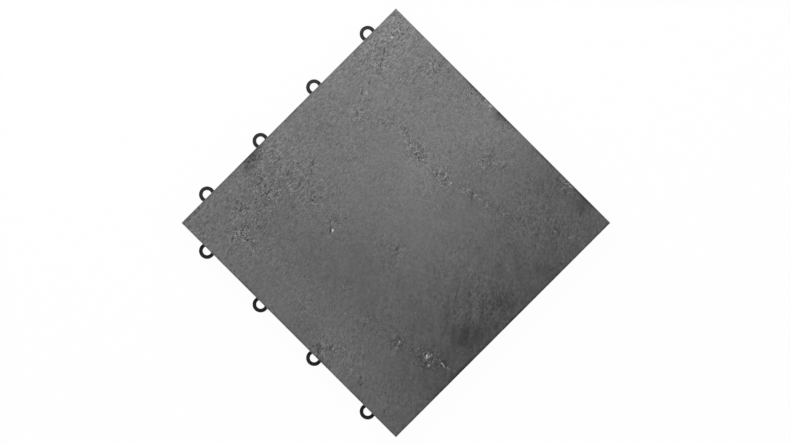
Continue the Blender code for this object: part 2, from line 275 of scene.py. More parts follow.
# Crisp flecks, read in the same way: x, y, radius, and the change of grey
FACE_FLECKS = (
    (114, -68.5, 0.8, STRONG), (118, -73.5, 0.7, -STRONG), (128.5, -64.5, 0.8, -STRONG),
    (132, -68, 0.8, -CLEAR), (137.5, -65, 0.6, STRONG), (-31.5, 65, 0.6, -CLEAR), (-33, 62, 0.7, -CLEAR),
    (-35.5, 61, 0.7, -STRONG), (-25.5, 63, 0.7, CLEAR), (-27.5, 61.5, 0.6, STRONG),
    (-29, 59.5, 0.6, CLEAR), (-31.5, 63, 0.6, CLEAR), (-35.5, 63.5, 0.7, FAINT), (-41.5, 62, 1.0, CLEAR),
    (-16, 69.5, 1.0, FAINT), (-3, 63, 0.7, CLEAR), (11, 66.5, 0.9, CLEAR), (23.5, 71, 0.8, FAINT),
    (42, 75, 1.0, FAINT), (40.5, 77, 0.7, -CLEAR), (86, -81, 0.9, STARK), (86, -83.5, 0.7, STRONG),
    (-13, 144.5, 0.7, CLEAR), (-20.5, 145, 0.6, CLEAR), (110.5, 144.5, 0.7, CLEAR),
    (87, 144, 0.7, -STRONG), (117, 111.5, 0.8, -CLEAR), (-98, -116, 0.8, STRONG),
    (-95, -119, 0.8, STRONG), (-93, -114, 0.7, STRONG), (-91.5, -116, 0.8, -STRONG),
    (-103.5, -121.5, 0.7, CLEAR), (-80, -119, 0.8, CLEAR), (-124, -63.5, 0.8, -STRONG),
    (-110.5, -70, 0.8, -STRONG), (-109, -68.5, 0.7, CLEAR), (-93, -45.5, 0.8, -CLEAR),
    (-91.5, -39, 0.7, CLEAR), (-75, -39, 0.9, -STRONG), (-74, -42.5, 0.8, -STRONG),
    (-132.5, 127, 0.8, CLEAR), (-132.5, 129, 0.8, -CLEAR), (-127.5, 129.5, 0.8, -CLEAR),
    (-131, 136.5, 0.8, CLEAR), (-118.5, 99.5, 0.8, CLEAR), (-118, 96, 0.8, -CLEAR),
    (-122, 98.5, 0.8, -FAINT), (-95.5, 104.5, 0.8, -CLEAR), (-97, 104, 0.7, CLEAR),
    (-92.5, 125, 0.9, -CLEAR), (-108, 113, 0.8, CLEAR), (-104.5, 67, 0.8, -CLEAR),
    (-60.5, -22, 0.8, -CLEAR), (-97.5, -20.5, 0.8, CLEAR), (-82, -22, 0.8, CLEAR),
    (-70, -34.5, 0.8, -CLEAR), (71.5, -133, 0.8, CLEAR), (84, -132, 0.8, -CLEAR),
    (36, -144.5, 0.8, -STRONG), (34, -142.5, 0.8, -CLEAR), (30.5, -141, 0.7, -CLEAR),
    (28.5, -144, 0.8, -CLEAR), (35.5, -146.5, 0.8, CLEAR), (-68.5, 142.5, 0.8, -STRONG),
    (-77, 133, 0.8, -FAINT), (-143.5, 105, 0.9, CLEAR), (-138, -24.5, 0.8, CLEAR),
    (-143, -43, 0.8, CLEAR), (-118, -147, 1.0, CLEAR), (123.5, 134.5, 0.8, -FAINT),
    (28, -98.5, 0.8, CLEAR),
)

# The face's mesh is twice as fine this close to the crisp marks, in millimetres
FINE_REACH = 1.4

# How far the mesh's outermost lines stand in from the edge, in widths of its even squares
EDGE_LINES = (0, 0.42, 0.95, 3)

# Chips along the arris, and painted light on it: x, y, half length and half width along the edge, depth, and
# the change of grey. The changes of grey are painted: shade in the chips and along the arris, deepest on the
# +X side away from the lamp, and highlight at two chips on the -X side, which faces it. The last four rows
# have no depth and paint a thin line of shade along each edge.
EDGE_CHIPS_AND_SHADE = (
    (149.5, -57, 14, 2.0, 0.9, -44), (149.5, -88, 8, 1.4, 0.5, -26), (149.5, 20, 12, 1.3, 0.4, -22),
    (-1, 149.5, 9, 3.2, 0.9, -38), (13, 149.5, 9, 1.5, 0.6, -28), (-35, 149.5, 15, 1.7, 0.6, -38),
    (60, 149.5, 12, 1.4, 0.4, -22), (112, 149.5, 15, 1.8, 0.6, -34), (-149.5, -54, 15, 1.6, 0.5, -30),
    (-149.5, 60, 8, 1.2, 0.3, 14), (-149.5, 128, 6, 1.2, 0.3, 16), (-60, -149.5, 9, 1.3, 0.4, -16),
    (44, -149.5, 9, 1.6, 0.6, -26), (96, -149.5, 8, 1.3, 0.4, -18), (149.5, 0, 170, 0.8, 0, -26),
    (-149.5, 0, 170, 0.8, 0, -22), (0, 149.5, 170, 0.8, 0, -15), (0, -149.5, 170, 0.8, 0, -8),
)


def hashed_directions(column, row, seed):
    """A repeatable unit vector for each whole-numbered point of the plane."""
    mask = np.uint64(0xFFFFFFFF)
    mixed = column.astype(np.int64).astype(np.uint64) * np.uint64(374761393)
    mixed += row.astype(np.int64).astype(np.uint64) * np.uint64(668265263)
    mixed = (mixed + np.uint64(seed * 2246822519 % 4294967296)) & mask
    mixed = ((mixed ^ (mixed >> np.uint64(13))) * np.uint64(1274126177)) & mask
    mixed = ((mixed ^ (mixed >> np.uint64(16))) * np.uint64(2654435761)) & mask
    angle = (mixed ^ (mixed >> np.uint64(15))).astype(float) / 2**32 * math.tau
    return np.cos(angle), np.sin(angle)


def smooth_noise(x, y, seed):
    """Gradient noise, about -1 to 1, whose swells are one unit apart."""
    column, row = np.floor(x), np.floor(y)
    across, up = x - column, y - row
    ease_x = across**3 * (across * (across * 6 - 15) + 10)
    ease_y = up**3 * (up * (up * 6 - 15) + 10)
    total = np.zeros_like(across)
    for step_x in (0, 1):
        for step_y in (0, 1):
            slope_x, slope_y = hashed_directions(column + step_x, row + step_y, seed)
            value = slope_x * (across - step_x) + slope_y * (up - step_y)
            weight_x = ease_x if step_x else 1 - ease_x
            weight_y = ease_y if step_y else 1 - ease_y
            total += weight_x * weight_y * value
    return total * 1.5


def fractal_noise(x, y, size, octaves, seed, gain=0.5):
    """Noise with finer and finer octaves. The widest swells are size apart."""
    total = np.zeros_like(x)
    reach, weight = 0.0, 1.0
    for octave in range(octaves):
        scale = 2**octave / size
        total += weight * smooth_noise(x * scale, y * scale, seed * 31 + octave)
        reach += weight
        weight *= gain
    return total / reach


def smooth_step(low, high, value):
    part = np.clip((value - low) / (high - low), 0, 1)
    return part * part * (3 - 2 * part)


def grain_angle(look, side=0):
    """Direction of the grain in radians: at the left for side -1, in the middle, or at the right for 1."""
    return math.atan2(look.grain_direction[1], look.grain_direction[0]) + side * math.radians(look.grain_fan)


def grain_frame(x, y, angle):
    """Coordinates along and across the grain."""
    return x * math.cos(angle) + y * math.sin(angle), -x * math.sin(angle) + y * math.cos(angle)


def grained_noise(x, y, width, length, octaves, seed, look):
    """Noise drawn out along the grain, which fans out from the left of the face to the right."""
    right = smooth_step(*FAN_FROM_TO, x)
    total = np.zeros_like(x)
    for share, side in ((1 - right, -1), (right, 1)):
        along, across = grain_frame(x, y, grain_angle(look, side))
        total += share * fractal_noise(across / width, along / length, 1.0, octaves, seed, 0.6)
    return total


def distance_to_line(x, y, points):
    """Distance to a chain of points, counted positive on its left side."""
    nearest = np.full_like(x, 1e9)
    signed = np.zeros_like(x)
    for (x0, y0), (x1, y1) in zip(points, points[1:]):
        run_x, run_y = x1 - x0, y1 - y0
        part = ((x - x0) * run_x + (y - y0) * run_y) / (run_x**2 + run_y**2)
        part = np.clip(part, 0, 1)
        off_x, off_y = x - (x0 + part * run_x), y - (y0 + part * run_y)
        far = np.hypot(off_x, off_y)
        side = np.sign(run_x * off_y - run_y * off_x)
        closer = far < nearest
        signed = np.where(closer, side * far, signed)
        nearest = np.minimum(nearest, far)
    return signed


def flakiness(x, y):
    """How broken the face is at each place: 0 on whole laminae, about 1 in a flaky patch."""
    wander_x = x + 5 * fractal_noise(x, y, 14, 3, 41)
    wander_y = y + 5 * fractal_noise(x, y, 14, 3, 42)
    rough = np.zeros_like(x)
    for patch_x, patch_y, radius, strength in FLAKY_PATCHES:
        far = np.hypot(wander_x - patch_x, wander_y - patch_y) / radius
        rough = np.maximum(rough, strength * np.exp(-far * far))
    for line in LAMINA_EDGES:
        far = distance_to_line(wander_x, wander_y, line) / 3.6
        broken = smooth_step(-0.55, 0.35, fractal_noise(x, y, 26, 3, 43))
        rough = np.maximum(rough, 0.8 * broken * np.exp(-far * far))
    return rough


def wrinkles(x, y, width, length, look, seed):
    """Crests that wander along the grain, 0 in the troughs and 1 on the crests."""
    bend = 2.0 * fractal_noise(x, y, 16, 2, seed + 50)
    return 1 - np.abs(grained_noise(x + bend, y + bend, width, length, 1, seed, look)) * 1.6


def brokenness(x, y):
    """How lively the fine relief is: least right of the middle, most in the lively places."""
    far = np.hypot(x - CALM_AT[0], y - CALM_AT[1]) / CALM_REACH
    lively = 0.46 + 0.28 * far + 0.40 * fractal_noise(x, y, 42, 3, 6)
    for place_x, place_y, radius, extra in LIVELY_PLACES:
        far = np.hypot(x - place_x, y - place_y) / radius
        lively = lively + extra * np.exp(-far * far)
    return np.clip(lively, 0.25, 1.7)


def terraces(value, riser_from):
    """Turns a slope into steps. Each is flat at first, and rises from this share of its length."""
    step = np.floor(value)
    return step + smooth_step(riser_from, 1.0, value - step)


def riven_height(x, y, look):
    """Height of the riven face in millimetres, before it is set down to the slab's top."""
    height = ROLL_HEIGHT * fractal_noise(x, y, ROLL_WIDTH, 3, 1)
    warp = WARP_REACH * fractal_noise(x, y, WARP_WIDTH, 4, 2)
    for line in LAMINA_EDGES:
        far = distance_to_line(x + warp, y + warp * 0.8, line)
        fade = np.exp(-np.abs(far) / STEP_FADE)
        rise = smooth_step(-STEP_HALF_RUN, STEP_HALF_RUN, far) - 0.5
        height += look.lamina_step / MM * rise * fade
    planes = 2.6 * fractal_noise(x + warp, y - warp, PLANE_WIDTH, 4, 3, 0.55) + 3
    height += PLANE_HEIGHT * terraces(planes, 0.86)
    lively = brokenness(x, y)
    skins = 7 * fractal_noise(x + 0.4 * warp, y + 0.3 * warp, SKIN_WIDTH, 5, 10, 0.62) + 9
    height += SKIN_HEIGHT * lively * terraces(skins, 0.70)
    rough = flakiness(x, y)
    flakes = fractal_noise(x, y, FLAKE_WIDTH, 3, 5, 0.65)
    height += rough * (FLAKE_HEIGHT * flakes + LEDGE_HEIGHT * smooth_step(0.02, 0.2, flakes))
    crests = 0.6 * wrinkles(x, y, 3.4, 9, look, 7) + 0.4 * wrinkles(x, y, 2.8, 6, look, 8)
    grain = fractal_noise(x, y, GRAIN_WIDTH, 2, 9, 0.8)
    height += look.grain_depth / MM * lively * (crests + 2 * grain)
    return height


def crisp_marks(x, y):
    """For each stroke and fleck in turn: the distance to it, its half width and its change of grey."""
    for x0, y0, x1, y1, half_width, grey in FACE_STROKES:
        yield np.abs(distance_to_line(x, y, ((x0, y0), (x1, y1)))), half_width, grey
    for mark_x, mark_y, radius, grey in FACE_FLECKS:
        yield np.hypot(x - mark_x, y - mark_y), radius, grey


def mark_tone(x, y, look):
    """Change of grey made by the single marks."""
    angle = grain_angle(look)
    along, across = grain_frame(x, y, angle)
    ragged = 1.5 * fractal_noise(x, y, 4, 2, 31, 0.8)
    broken = np.clip(0.75 + 1.9 * fractal_noise(x, y, 3.0, 2, 32, 0.7), 0.1, 1.6)
    change = np.zeros_like(x)
    for mark_x, mark_y, half_length, half_width, grey in FACE_MARKS:
        mid_along, mid_across = grain_frame(mark_x, mark_y, angle)
        far = np.hypot((along - mid_along) / half_length, (across - mid_across + ragged) / half_width)
        change += grey * broken * np.exp(-far * far)
    for grey, half_width, points in FACE_LINES:
        far = distance_to_line(x + ragged * 0.5, y + ragged * 0.4, points) / half_width
        change += grey * np.clip(broken + 0.2, 0.4, 1.3) * np.exp(-far * far)
    shift_x, shift_y = [0.25 * fractal_noise(x, y, 2.2, 2, seed, 0.8) for seed in (36, 37)]
    for far, half_width, grey in crisp_marks(x + shift_x, y + shift_y):
        change += grey * np.clip(broken + 0.35, 0.6, 1.3) * np.exp(-((far / half_width) ** 2))
    return change


def arris_chips_and_shade(x, y):
    """How deep the single chips along the arris are in millimetres, and the change of grey along it, which
    is painted shade in the chips and along the arris, with painted highlight at two chips on the -X side,
    which faces the lamp.
    """
    ragged = 4 * fractal_noise(x, y, 7, 3, 35, 0.7)
    deep, change = np.zeros_like(x), np.zeros_like(x)
    for chip_x, chip_y, half_length, half_width, depth, grey in EDGE_CHIPS_AND_SHADE:
        along, away = (y - chip_y, x - chip_x) if abs(chip_x) > abs(chip_y) else (x - chip_x, y - chip_y)
        near = np.exp(-(((along + ragged) / half_length) ** 4))
        deep += depth * near * np.exp(-((away / 5) ** 2))
        wide = half_width * (1 + 0.25 * ragged)
        change += grey * near * np.exp(-((away / np.maximum(wide, 0.5)) ** 2))
    return deep, change


def face_tone(x, y, look):
    """Grey level of the riven face, 0 to 255. Its slope is partly painted light, lighter towards the lamp's
    corner, and the arris adds painted shade.
    """
    # Partly painted light: lighter towards the corner at -X +Y, where the lamp stands.
    fade = np.clip((TONE_Y_ENDS_AT_X - x) / TONE_Y_FADES_OVER, 0, 1)
    tone = TONE_MIDDLE + TONE_PER_MM_X * x + TONE_PER_MM_Y * y * fade
    strokes = grained_noise(x, y, 2.6, 6, 2, 23, look)
    smears = grained_noise(x, y, 7, 24, 3, 26, look)
    for place_x, place_y, radius, change in TONE_PLACES:
        far = np.hypot(x - place_x, y - place_y) / radius
        streaky = 1.3 if radius > STREAKY_OVER else 0.3
        tone = tone + change * np.exp(-far * far) * (1 - streaky * smears)
    tone += CLOUD_GREY * fractal_noise(x, y, 70, 4, 21, 0.6) + SMEAR_GREY * smears
    lively = brokenness(x, y)
    tone -= STROKE_GREY * lively * np.maximum(strokes - 0.14, 0)
    tone += GRAIN_GREY * lively * fractal_noise(x, y, 3.4, 2, 24, 0.8)
    rough = flakiness(x, y)
    speckle = fractal_noise(x, y, 3.8, 2, 22, 0.7)
    bright, dark = np.maximum(speckle - 0.08, 0), np.maximum(-speckle - 0.05, 0)
    tone += rough * (BRIGHT_FLAKE_GREY * bright - DARK_FLAKE_GREY * dark)
    # The arris adds painted shade, and a little painted highlight, to the grey.
    return tone + mark_tone(x, y, look) + arris_chips_and_shade(x, y)[1]


def linear_light(tone):
    """Turns a grey level of 0 to 255 into the share of light that it stands for."""
    share = np.clip(tone, 0, 255) / 255
    return ((share + 0.055) / 1.055) ** 2.4


def edge_wear(x, y, look):
    """How far the arris is worn back at places along the slab's edge, in millimetres."""
    ragged = fractal_noise(x, y, 9, 3, 31, 0.65)
    chips = np.maximum(fractal_noise(x, y, 38, 3, 32) - 0.18, 0) * 5
    wear = look.arris_wear / MM * (0.55 + 0.6 * np.abs(ragged)) + chips * np.abs(ragged) * 1.6
    return wear + arris_chips_and_shade(x, y)[0] * (0.8 + 0.8 * ragged)


def split_under_marks(bm, lines):
    """Splits each square of the grid in four where a crisp mark crosses it."""
    faces = list(bm.faces)
    middles = np.array([face.calc_center_median() for face in faces])
    x, y = place_lines(middles[:, 0], lines), place_lines(middles[:, 1], lines)
    near = np.min([far for far, _, _ in crisp_marks(x, y)], axis=0) < FINE_REACH
    crossed = {face for face, split in zip(faces, near) if split}
    inner = [edge for edge in bm.edges if not edge.is_boundary and crossed.intersection(edge.link_faces)]
    bmesh.ops.subdivide_edges(bm, edges=inner, cuts=1, use_grid_fill=True)


def slab_cage(lines, side_rows):
    """A closed box whose top is a fine grid and whose sides have rows, all coded by place and level."""
    bm = bmesh.new()
    bmesh.ops.create_grid(bm, x_segments=lines, y_segments=lines, size=1)
    split_under_marks(bm, lines)
    rim = [edge for edge in bm.edges if edge.is_boundary]
    for row in range(1, side_rows + 1):
        made = bmesh.ops.extrude_edge_only(bm, edges=rim)["geom"]
        for item in made:
            if isinstance(item, bmesh.types.BMVert):
                item.co.z = -row
        rim = [item for item in made if isinstance(item, bmesh.types.BMEdge) and item.is_boundary]
    bmesh.ops.contextual_create(bm, geom=rim)
    bmesh.ops.recalc_face_normals(bm, faces=bm.faces)
    mesh = mesh_in_order("slate", bm)
    bm.free()
    return mesh


def mesh_in_order(name, bm):
    """A mesh whose points and faces are sorted by place, since a split leaves them in no fixed order."""
    verts = sorted(bm.verts, key=lambda vert: tuple(vert.co))
    number = {vert: i for i, vert in enumerate(verts)}
    faces = []
    for face in bm.faces:
        corners = [number[vert] for vert in face.verts]
        first = corners.index(min(corners))
        faces.append(corners[first:] + corners[:first])
    mesh = bpy.data.meshes.new(name)
    mesh.from_pydata([vert.co for vert in verts], [], sorted(faces))
    return mesh


def place_lines(share, lines):
    """Spreads the grid over the slab, with its last lines close together at the edges."""
    index = (share + 1) / 2 * lines
    from_edge = np.minimum(index, lines - index)
    even = (index / lines * 2 - 1) * SLAB_HALF
    last = len(EDGE_LINES) - 1
    inset = np.interp(from_edge, range(last + 1), EDGE_LINES) * 2 * SLAB_HALF / lines
    return np.where(from_edge < last, np.sign(even) * (SLAB_HALF - inset), even)


def shape_slab(x, y, level, rows, look):
    """The slab's points in millimetres: riven face, worn arris, sawn sides and flat underside."""
    on_top = level == 0
    height = riven_height(x, y, look)
    height = np.minimum(height - np.percentile(height, 99.7), 0)
    height = np.maximum(height, -look.relief_limit / MM)

    # The arris: the face rolls down to the edge, and the first row of the side starts below it.
    inside = np.minimum(SLAB_HALF - np.abs(x), SLAB_HALF - np.abs(y))
    wear = edge_wear(x, y, look)
    roll = np.clip(1 - inside / np.maximum(wear * 1.6, 0.3), 0, 1)
    height -= np.where(on_top, wear * 0.55 * roll**1.7, 0)

    # The sides: rows at even heights below the arris, pushed in where a lamina has flaked away.
    share = np.clip((level - 1) / (rows - 1), 0, 1)
    top_edge = height - wear
    bottom = -SLAB_THICKNESS
    z = np.where(on_top, height, top_edge + (bottom - top_edge) * share)
    around = np.where(np.abs(x) > np.abs(y), y, x) + np.where(np.abs(x) > np.abs(y), 900, 0)
    layers = fractal_noise(around / 6, z * 1.3, 1.0, 3, 33) * 0.10
    flaked = np.maximum(fractal_noise(around / 16, z * 0.9, 1.0, 2, 34) - 0.25, 0) * 0.5
    push = np.where(on_top, 0.30 * wear * roll, 0.10 + layers + flaked)
    push = np.where(level == rows, 0.05, push)
    push = np.clip(push, 0, 0.9)
    side_x, side_y = np.abs(x) > SLAB_HALF - 0.01, np.abs(y) > SLAB_HALF - 0.01
    x = np.where(side_x, x - np.sign(x) * push, x)
    y = np.where(side_y, y - np.sign(y) * push, y)
    return x, y, z


def build_slate(look):
    """The slab as one closed mesh, with the values that its material reads at each point."""
    lines, rows = look.grid_lines, look.side_rows
    mesh = slab_cage(lines, rows)
    points = np.empty(len(mesh.vertices) * 3)
    mesh.vertices.foreach_get("co", points)
    points = points.reshape(-1, 3)
    x, y = place_lines(points[:, 0], lines), place_lines(points[:, 1], lines)
    level = -np.rint(points[:, 2])
    x, y, z = shape_slab(x, y, level, rows, look)
    placed = np.stack([x, y, z], axis=1) * MM
    placed[:, 2] += SLAB_HIGH.z
    mesh.vertices.foreach_set("co", placed.ravel())

    for name, values in (
        ("tone", linear_light(face_tone(x, y, look))),
        ("lively", brokenness(x, y)),
        ("rough", flakiness(x, y)),
        ("sawn", np.where(level > 0, 1.0, 0.0)),
    ):
        attribute = mesh.attributes.new(name, "FLOAT", "POINT")
        attribute.data.foreach_set("value", values.astype(np.float32))
    mesh.shade_smooth()
    mesh.set_sharp_from_angle(angle=math.radians(look.sharp_turn))
    mesh.update()
    slab = bpy.data.objects.new("riven_slate", mesh)
    bpy.context.scene.collection.objects.link(slab)
    return slab


def outline_mesh(name, rows):
    """A closed shape from outlines with equally many points, joined in order, with both ends filled."""
    count = len(rows[0])
    points = [point for row in rows for point in row]
    faces = [tuple(range(count))[::-1], tuple(range(len(points) - count, len(points)))]
    for row in range(len(rows) - 1):
        for i in range(count):
            after = (i + 1) % count
            low, high = row * count, (row + 1) * count
            faces.append((low + i, low + after, high + after, high + i))
    return mesh_from(name, points, faces)


def mesh_from(name, points, faces):
    bm = bmesh.new()
    made = [bm.verts.new(point) for point in points]
    for face in faces:
        bm.faces.new([made[i] for i in face])
    bmesh.ops.recalc_face_normals(bm, faces=bm.faces)
    mesh = bpy.data.meshes.new(name)
    bm.to_mesh(mesh)
    bm.free()
    return mesh


def arc(centre_x, centre_y, radius, start, end, steps):
    """Points of an arc between two angles in degrees, both ends included."""
    turn = [math.radians(start + (end - start) * i / steps) for i in range(steps + 1)]
    return [(centre_x + radius * math.cos(a), centre_y + radius * math.sin(a)) for a in turn]


def rounded_square(half, radius, steps):
    flat = half - radius
    return [
        *arc(flat, -flat, radius, -90, 0, steps),
        *arc(flat, flat, radius, 0, 90, steps),
        *arc(-flat, flat, radius, 90, 180, steps),
        *arc(-flat, -flat, radius, 180, 270, steps),
    ]


def rounded_rectangle(x0, x1, y0, y1, radius, steps):
    return [
        *arc(x1 - radius, y0 + radius, radius, -90, 0, steps),
        *arc(x1 - radius, y1 - radius, radius, 0, 90, steps),
        *arc(x0 + radius, y1 - radius, radius, 90, 180, steps),
        *arc(x0 + radius, y0 + radius, radius, 180, 270, steps),
    ]


def turned_mesh(name, profile, sides):
    """A closed solid of revolution: profile runs round the section, or from axis to axis."""
    points, rings = [], []
    for radius, height in profile:
        if radius <= 0:
            rings.append([len(points)] * sides)
            points.append((0, 0, height))
            continue
        rings.append(list(range(len(points), len(points) + sides)))
        for i in range(sides):
            turn = math.tau * (i + 0.5) / sides
            points.append((radius * math.cos(turn), radius * math.sin(turn), height))
    open_ends = profile[0][0] <= 0
    pairs = list(zip(rings, rings[1:])) + ([] if open_ends else [(rings[-1], rings[0])])
    faces = []
    for low, high in pairs:
        for i in range(sides):
            after = (i + 1) % sides
            corners = dict.fromkeys((low[i], low[after], high[after], high[i]))
            faces.append(tuple(corners))
    return mesh_from(name, points, faces)


def rim_mesh(look):
    """The wall round the base. Its section has rounded lower edges and is carried round the outline."""
    edge, steps = look.edge_radius, look.edge_steps
    low, high, wall = RIM_FLOOR_GAP, BASE_HEIGHT, RIM_WALL
    section = [(0, high)]
    section += [(edge - x, low + edge - z) for x, z in arc(0, 0, edge, 0, 90, steps)]
    section += [(wall - edge + x, low + edge - z) for x, z in reversed(arc(0, 0, edge, 0, 90, steps))]
    section += [(wall, high)]
    corner = RIM_CORNER_RADIUS
    points = []
    for inset, level in section:
        outline = rounded_square(BASE_HALF - inset, corner - inset, look.corner_steps)
        points += [(x, y, level) for x, y in outline]
    count = len(points) // len(section)
    faces = []
    for row in range(len(section)):
        low_row, high_row = row * count, (row + 1) % len(section) * count
        for i in range(count):
            after = (i + 1) % count
            faces.append((low_row + i, low_row + after, high_row + after, high_row + i))
    return mesh_from("rim", points, faces)


def lattice_mesh(look):
    """The ribs: a grid stretched so that its lines fall on their faces, with the cells left out."""
    reach = RIM_INNER_HALF + JOIN
    lines = [-reach]
    for middle in RIB_LINES:
        lines += [middle - RIB_WALL / 2, middle + RIB_WALL / 2]
    lines.append(reach)
    strips = len(lines) - 1
    bm = bmesh.new()
    grid = [[bm.verts.new((x, y, RIB_BOTTOM)) for x in lines] for y in lines]
    for row in range(strips):
        for column in range(strips):
            if row % 2 or column % 2:
                lower, upper = grid[row], grid[row + 1]
                bm.faces.new((lower[column], lower[column + 1], upper[column + 1], upper[column]))
    raised = bmesh.ops.extrude_face_region(bm, geom=list(bm.faces))["geom"]
    for item in raised:
        if isinstance(item, bmesh.types.BMVert):
            item.co.z = RIB_TOP
    bmesh.ops.recalc_face_normals(bm, faces=bm.faces)
    bottom = [
        edge
        for edge in bm.edges
        if all(abs(vertex.co.z - RIB_BOTTOM) < LEVEL_TOLERANCE for vertex in edge.verts)
        and edge.calc_face_angle(0) > 1
    ]
    bmesh.ops.bevel(
        bm, geom=bottom, offset=look.edge_radius, segments=look.edge_steps, profile=0.5, affect="EDGES"
    )
    mesh = bpy.data.meshes.new("ribs")
    bm.to_mesh(mesh)
    bm.free()
    return mesh


def bearer_mesh(look):
    """A deeper, thinner rib, with a rounded lower edge, lying along X."""
    half, edge = BEARER_WALL / 2, look.edge_radius
    low, high = BEARER_FLOOR_GAP, RIB_BOTTOM + JOIN
    section = [(-half, high)]
    section += arc(-half + edge, low + edge, edge, 180, 270, look.edge_steps)
    section += arc(half - edge, low + edge, edge, 270, 360, look.edge_steps)
    section += [(half, high)]
    reach = RIM_INNER_HALF + JOIN
    return outline_mesh("bearer", [[(x, y, z) for y, z in section] for x in (-reach, reach)])


def foot_profile(foot_radius, top_radius, top, look):
    """Section of a foot: flat below, a rounded edge, and a tapered wall up to its top."""
    edge = look.foot_edge_radius
    return [
        (0, 0),
        *arc(foot_radius - edge, edge, edge, -90, -8, look.edge_steps + 2),
        (top_radius, top),
        (0, top),
    ]


def ring_profile(look):
    """Section of a ring, its upper edges well rounded and its lower ones eased."""
    edge, ease, steps = RING_EDGE_RADIUS, look.edge_radius, look.edge_steps + 3
    bore, outer, low, high = RING_BORE_RADIUS, RING_OUTER_RADIUS, RING_FLOOR_GAP, RING_TOP
    return [
        *arc(outer - ease, low + ease, ease, -90, 0, look.edge_steps),
        *arc(outer - edge, high - edge, edge, 0, 90, steps),
        *arc(bore + edge, high - edge, edge, 90, 180, steps),
        *arc(bore + ease, low + ease, ease, 180, 270, look.edge_steps),
    ]


def post_mesh(look):
    """A half-round post, flat on its outer side, whose tip is rounded over."""
    flat = BASE_HALF - POST_SET_BACK - POST_CENTRE
    start = math.degrees(math.acos(flat / POST_RADIUS))
    turn, bottom, top = POST_TIP_RADIUS, POST_FLOOR_GAP, POCKET_TOP + JOIN
    levels = [(turn - x, bottom + turn - z) for x, z in arc(0, 0, turn, 90, 0, look.edge_steps + 2)]
    rows = []
    for inset, level in [*levels, (0, top)]:
        outline = arc(0, 0, POST_RADIUS, start, 360 - start, look.post_sides)
        rows.append([inset_point(x, y, inset, flat) + (level,) for x, y in outline])
    return outline_mesh("post", rows)


def inset_point(x, y, inset, flat):
    """Moves a point of the post's outline inwards, keeping its flat side flat."""
    share = 1 - inset / POST_RADIUS
    return min(x * share, flat - inset), y * share


def roof_mesh(look):
    """The web over a pocket, which spans between two ribs and carries the post."""
    half = CELL_PITCH / 2
    inner = POST_CENTRE - RING_OUTER_RADIUS - POCKET_SIDE_CLEARANCE - RIB_WALL
    bottom = POCKET_TOP - ROOF_DROP
    outline = rounded_rectangle(
        inner, RIM_INNER_HALF + JOIN, -half, half, ROOF_CORNER_RADIUS, look.corner_steps
    )
    levels = (bottom, bottom + ROOF_THICKNESS)
    return outline_mesh("roof", [[(x, y, level) for x, y in outline] for level in levels])


def pocket_mesh(look):
    """Cutter for the way into a pocket: a slot through the rim, open below, with round upper corners."""
    below = RIM_FLOOR_GAP - OVERRUN - POCKET_CORNER_RADIUS
    outline = rounded_rectangle(
        -POCKET_HALF_WIDTH, POCKET_HALF_WIDTH, below, POCKET_TOP, POCKET_CORNER_RADIUS, look.corner_steps
    )
    ends = (RIM_INNER_HALF - OVERRUN, BASE_HALF + OVERRUN)
    return outline_mesh("pocket", [[(x, y, z) for y, z in outline] for x in ends])


def facing(side, along):
    """Placement on a side of the tile. Local +X points out of the tile, and along runs along its edge."""
    cosine, sine = {"+X": (1, 0), "+Y": (0, 1), "-X": (-1, 0), "-Y": (0, -1)}[side]
    turn = Matrix(((cosine, -sine, 0, 0), (sine, cosine, 0, 0), (0, 0, 1, 0), (0, 0, 0, 1)))
    shift = along if side in ("+X", "-Y") else -along
    return turn @ Matrix.Translation((0, shift, 0))


def place_copies(collection, mesh, places):
    for place in places:
        copy = bpy.data.objects.new(mesh.name, mesh)
        collection.objects.link(copy)
        copy.matrix_world = place


def foot_places():
    """Where the cups stand, and where the solid stubs stand inside the rim."""
    cups = [(x, y) for x in CUP_LINES for y in CUP_LINES]
    stubs = [(x, y) for x in (-STUB_LINE, STUB_LINE) for y in (-STUB_LINE, STUB_LINE)]
    for end in (-STUB_LINE, STUB_LINE):
        stubs += [(end, place) for place in STUB_PLACES]
        stubs += [(place, end) for place in STUB_PLACES]
    return [[Matrix.Translation((x, y, 0)) for x, y in group] for group in (cups, stubs)]


def fill_walls(walls, look):
    """Ribs, bearers, cups and stubs, which join the rim."""
    place_copies(walls, lattice_mesh(look), [Matrix.Identity(4)])
    along = [
        facing(side, 0) @ Matrix.Translation((0, line, 0)) for line in CUP_LINES for side in ("+X", "+Y")
    ]
    place_copies(walls, bearer_mesh(look), along)
    cups, stubs = foot_places()
    profile = foot_profile(CUP_FOOT_RADIUS, CUP_TOP_RADIUS, CUP_TOP, look)
    place_copies(walls, turned_mesh("cup", profile, look.foot_sides), cups)
    profile = foot_profile(STUB_FOOT_RADIUS, STUB_TOP_RADIUS, RIB_BOTTOM + JOIN, look)
    place_copies(walls, turned_mesh("stub", profile, look.foot_sides), stubs)


def fill_cutters(cutters, look):
    """The cups' bores and the pockets."""
    top = BASE_HEIGHT + OVERRUN
    profile = [(0, CUP_FLOOR), (CUP_BORE_RADIUS, CUP_FLOOR), (CUP_BORE_RADIUS, top), (0, top)]
    place_copies(cutters, turned_mesh("bore", profile, look.foot_sides), foot_places()[0])
    pockets = [facing(side, place) for side in ("+X", "+Y") for place in CLIP_PLACES]
    place_copies(cutters, pocket_mesh(look), pockets)


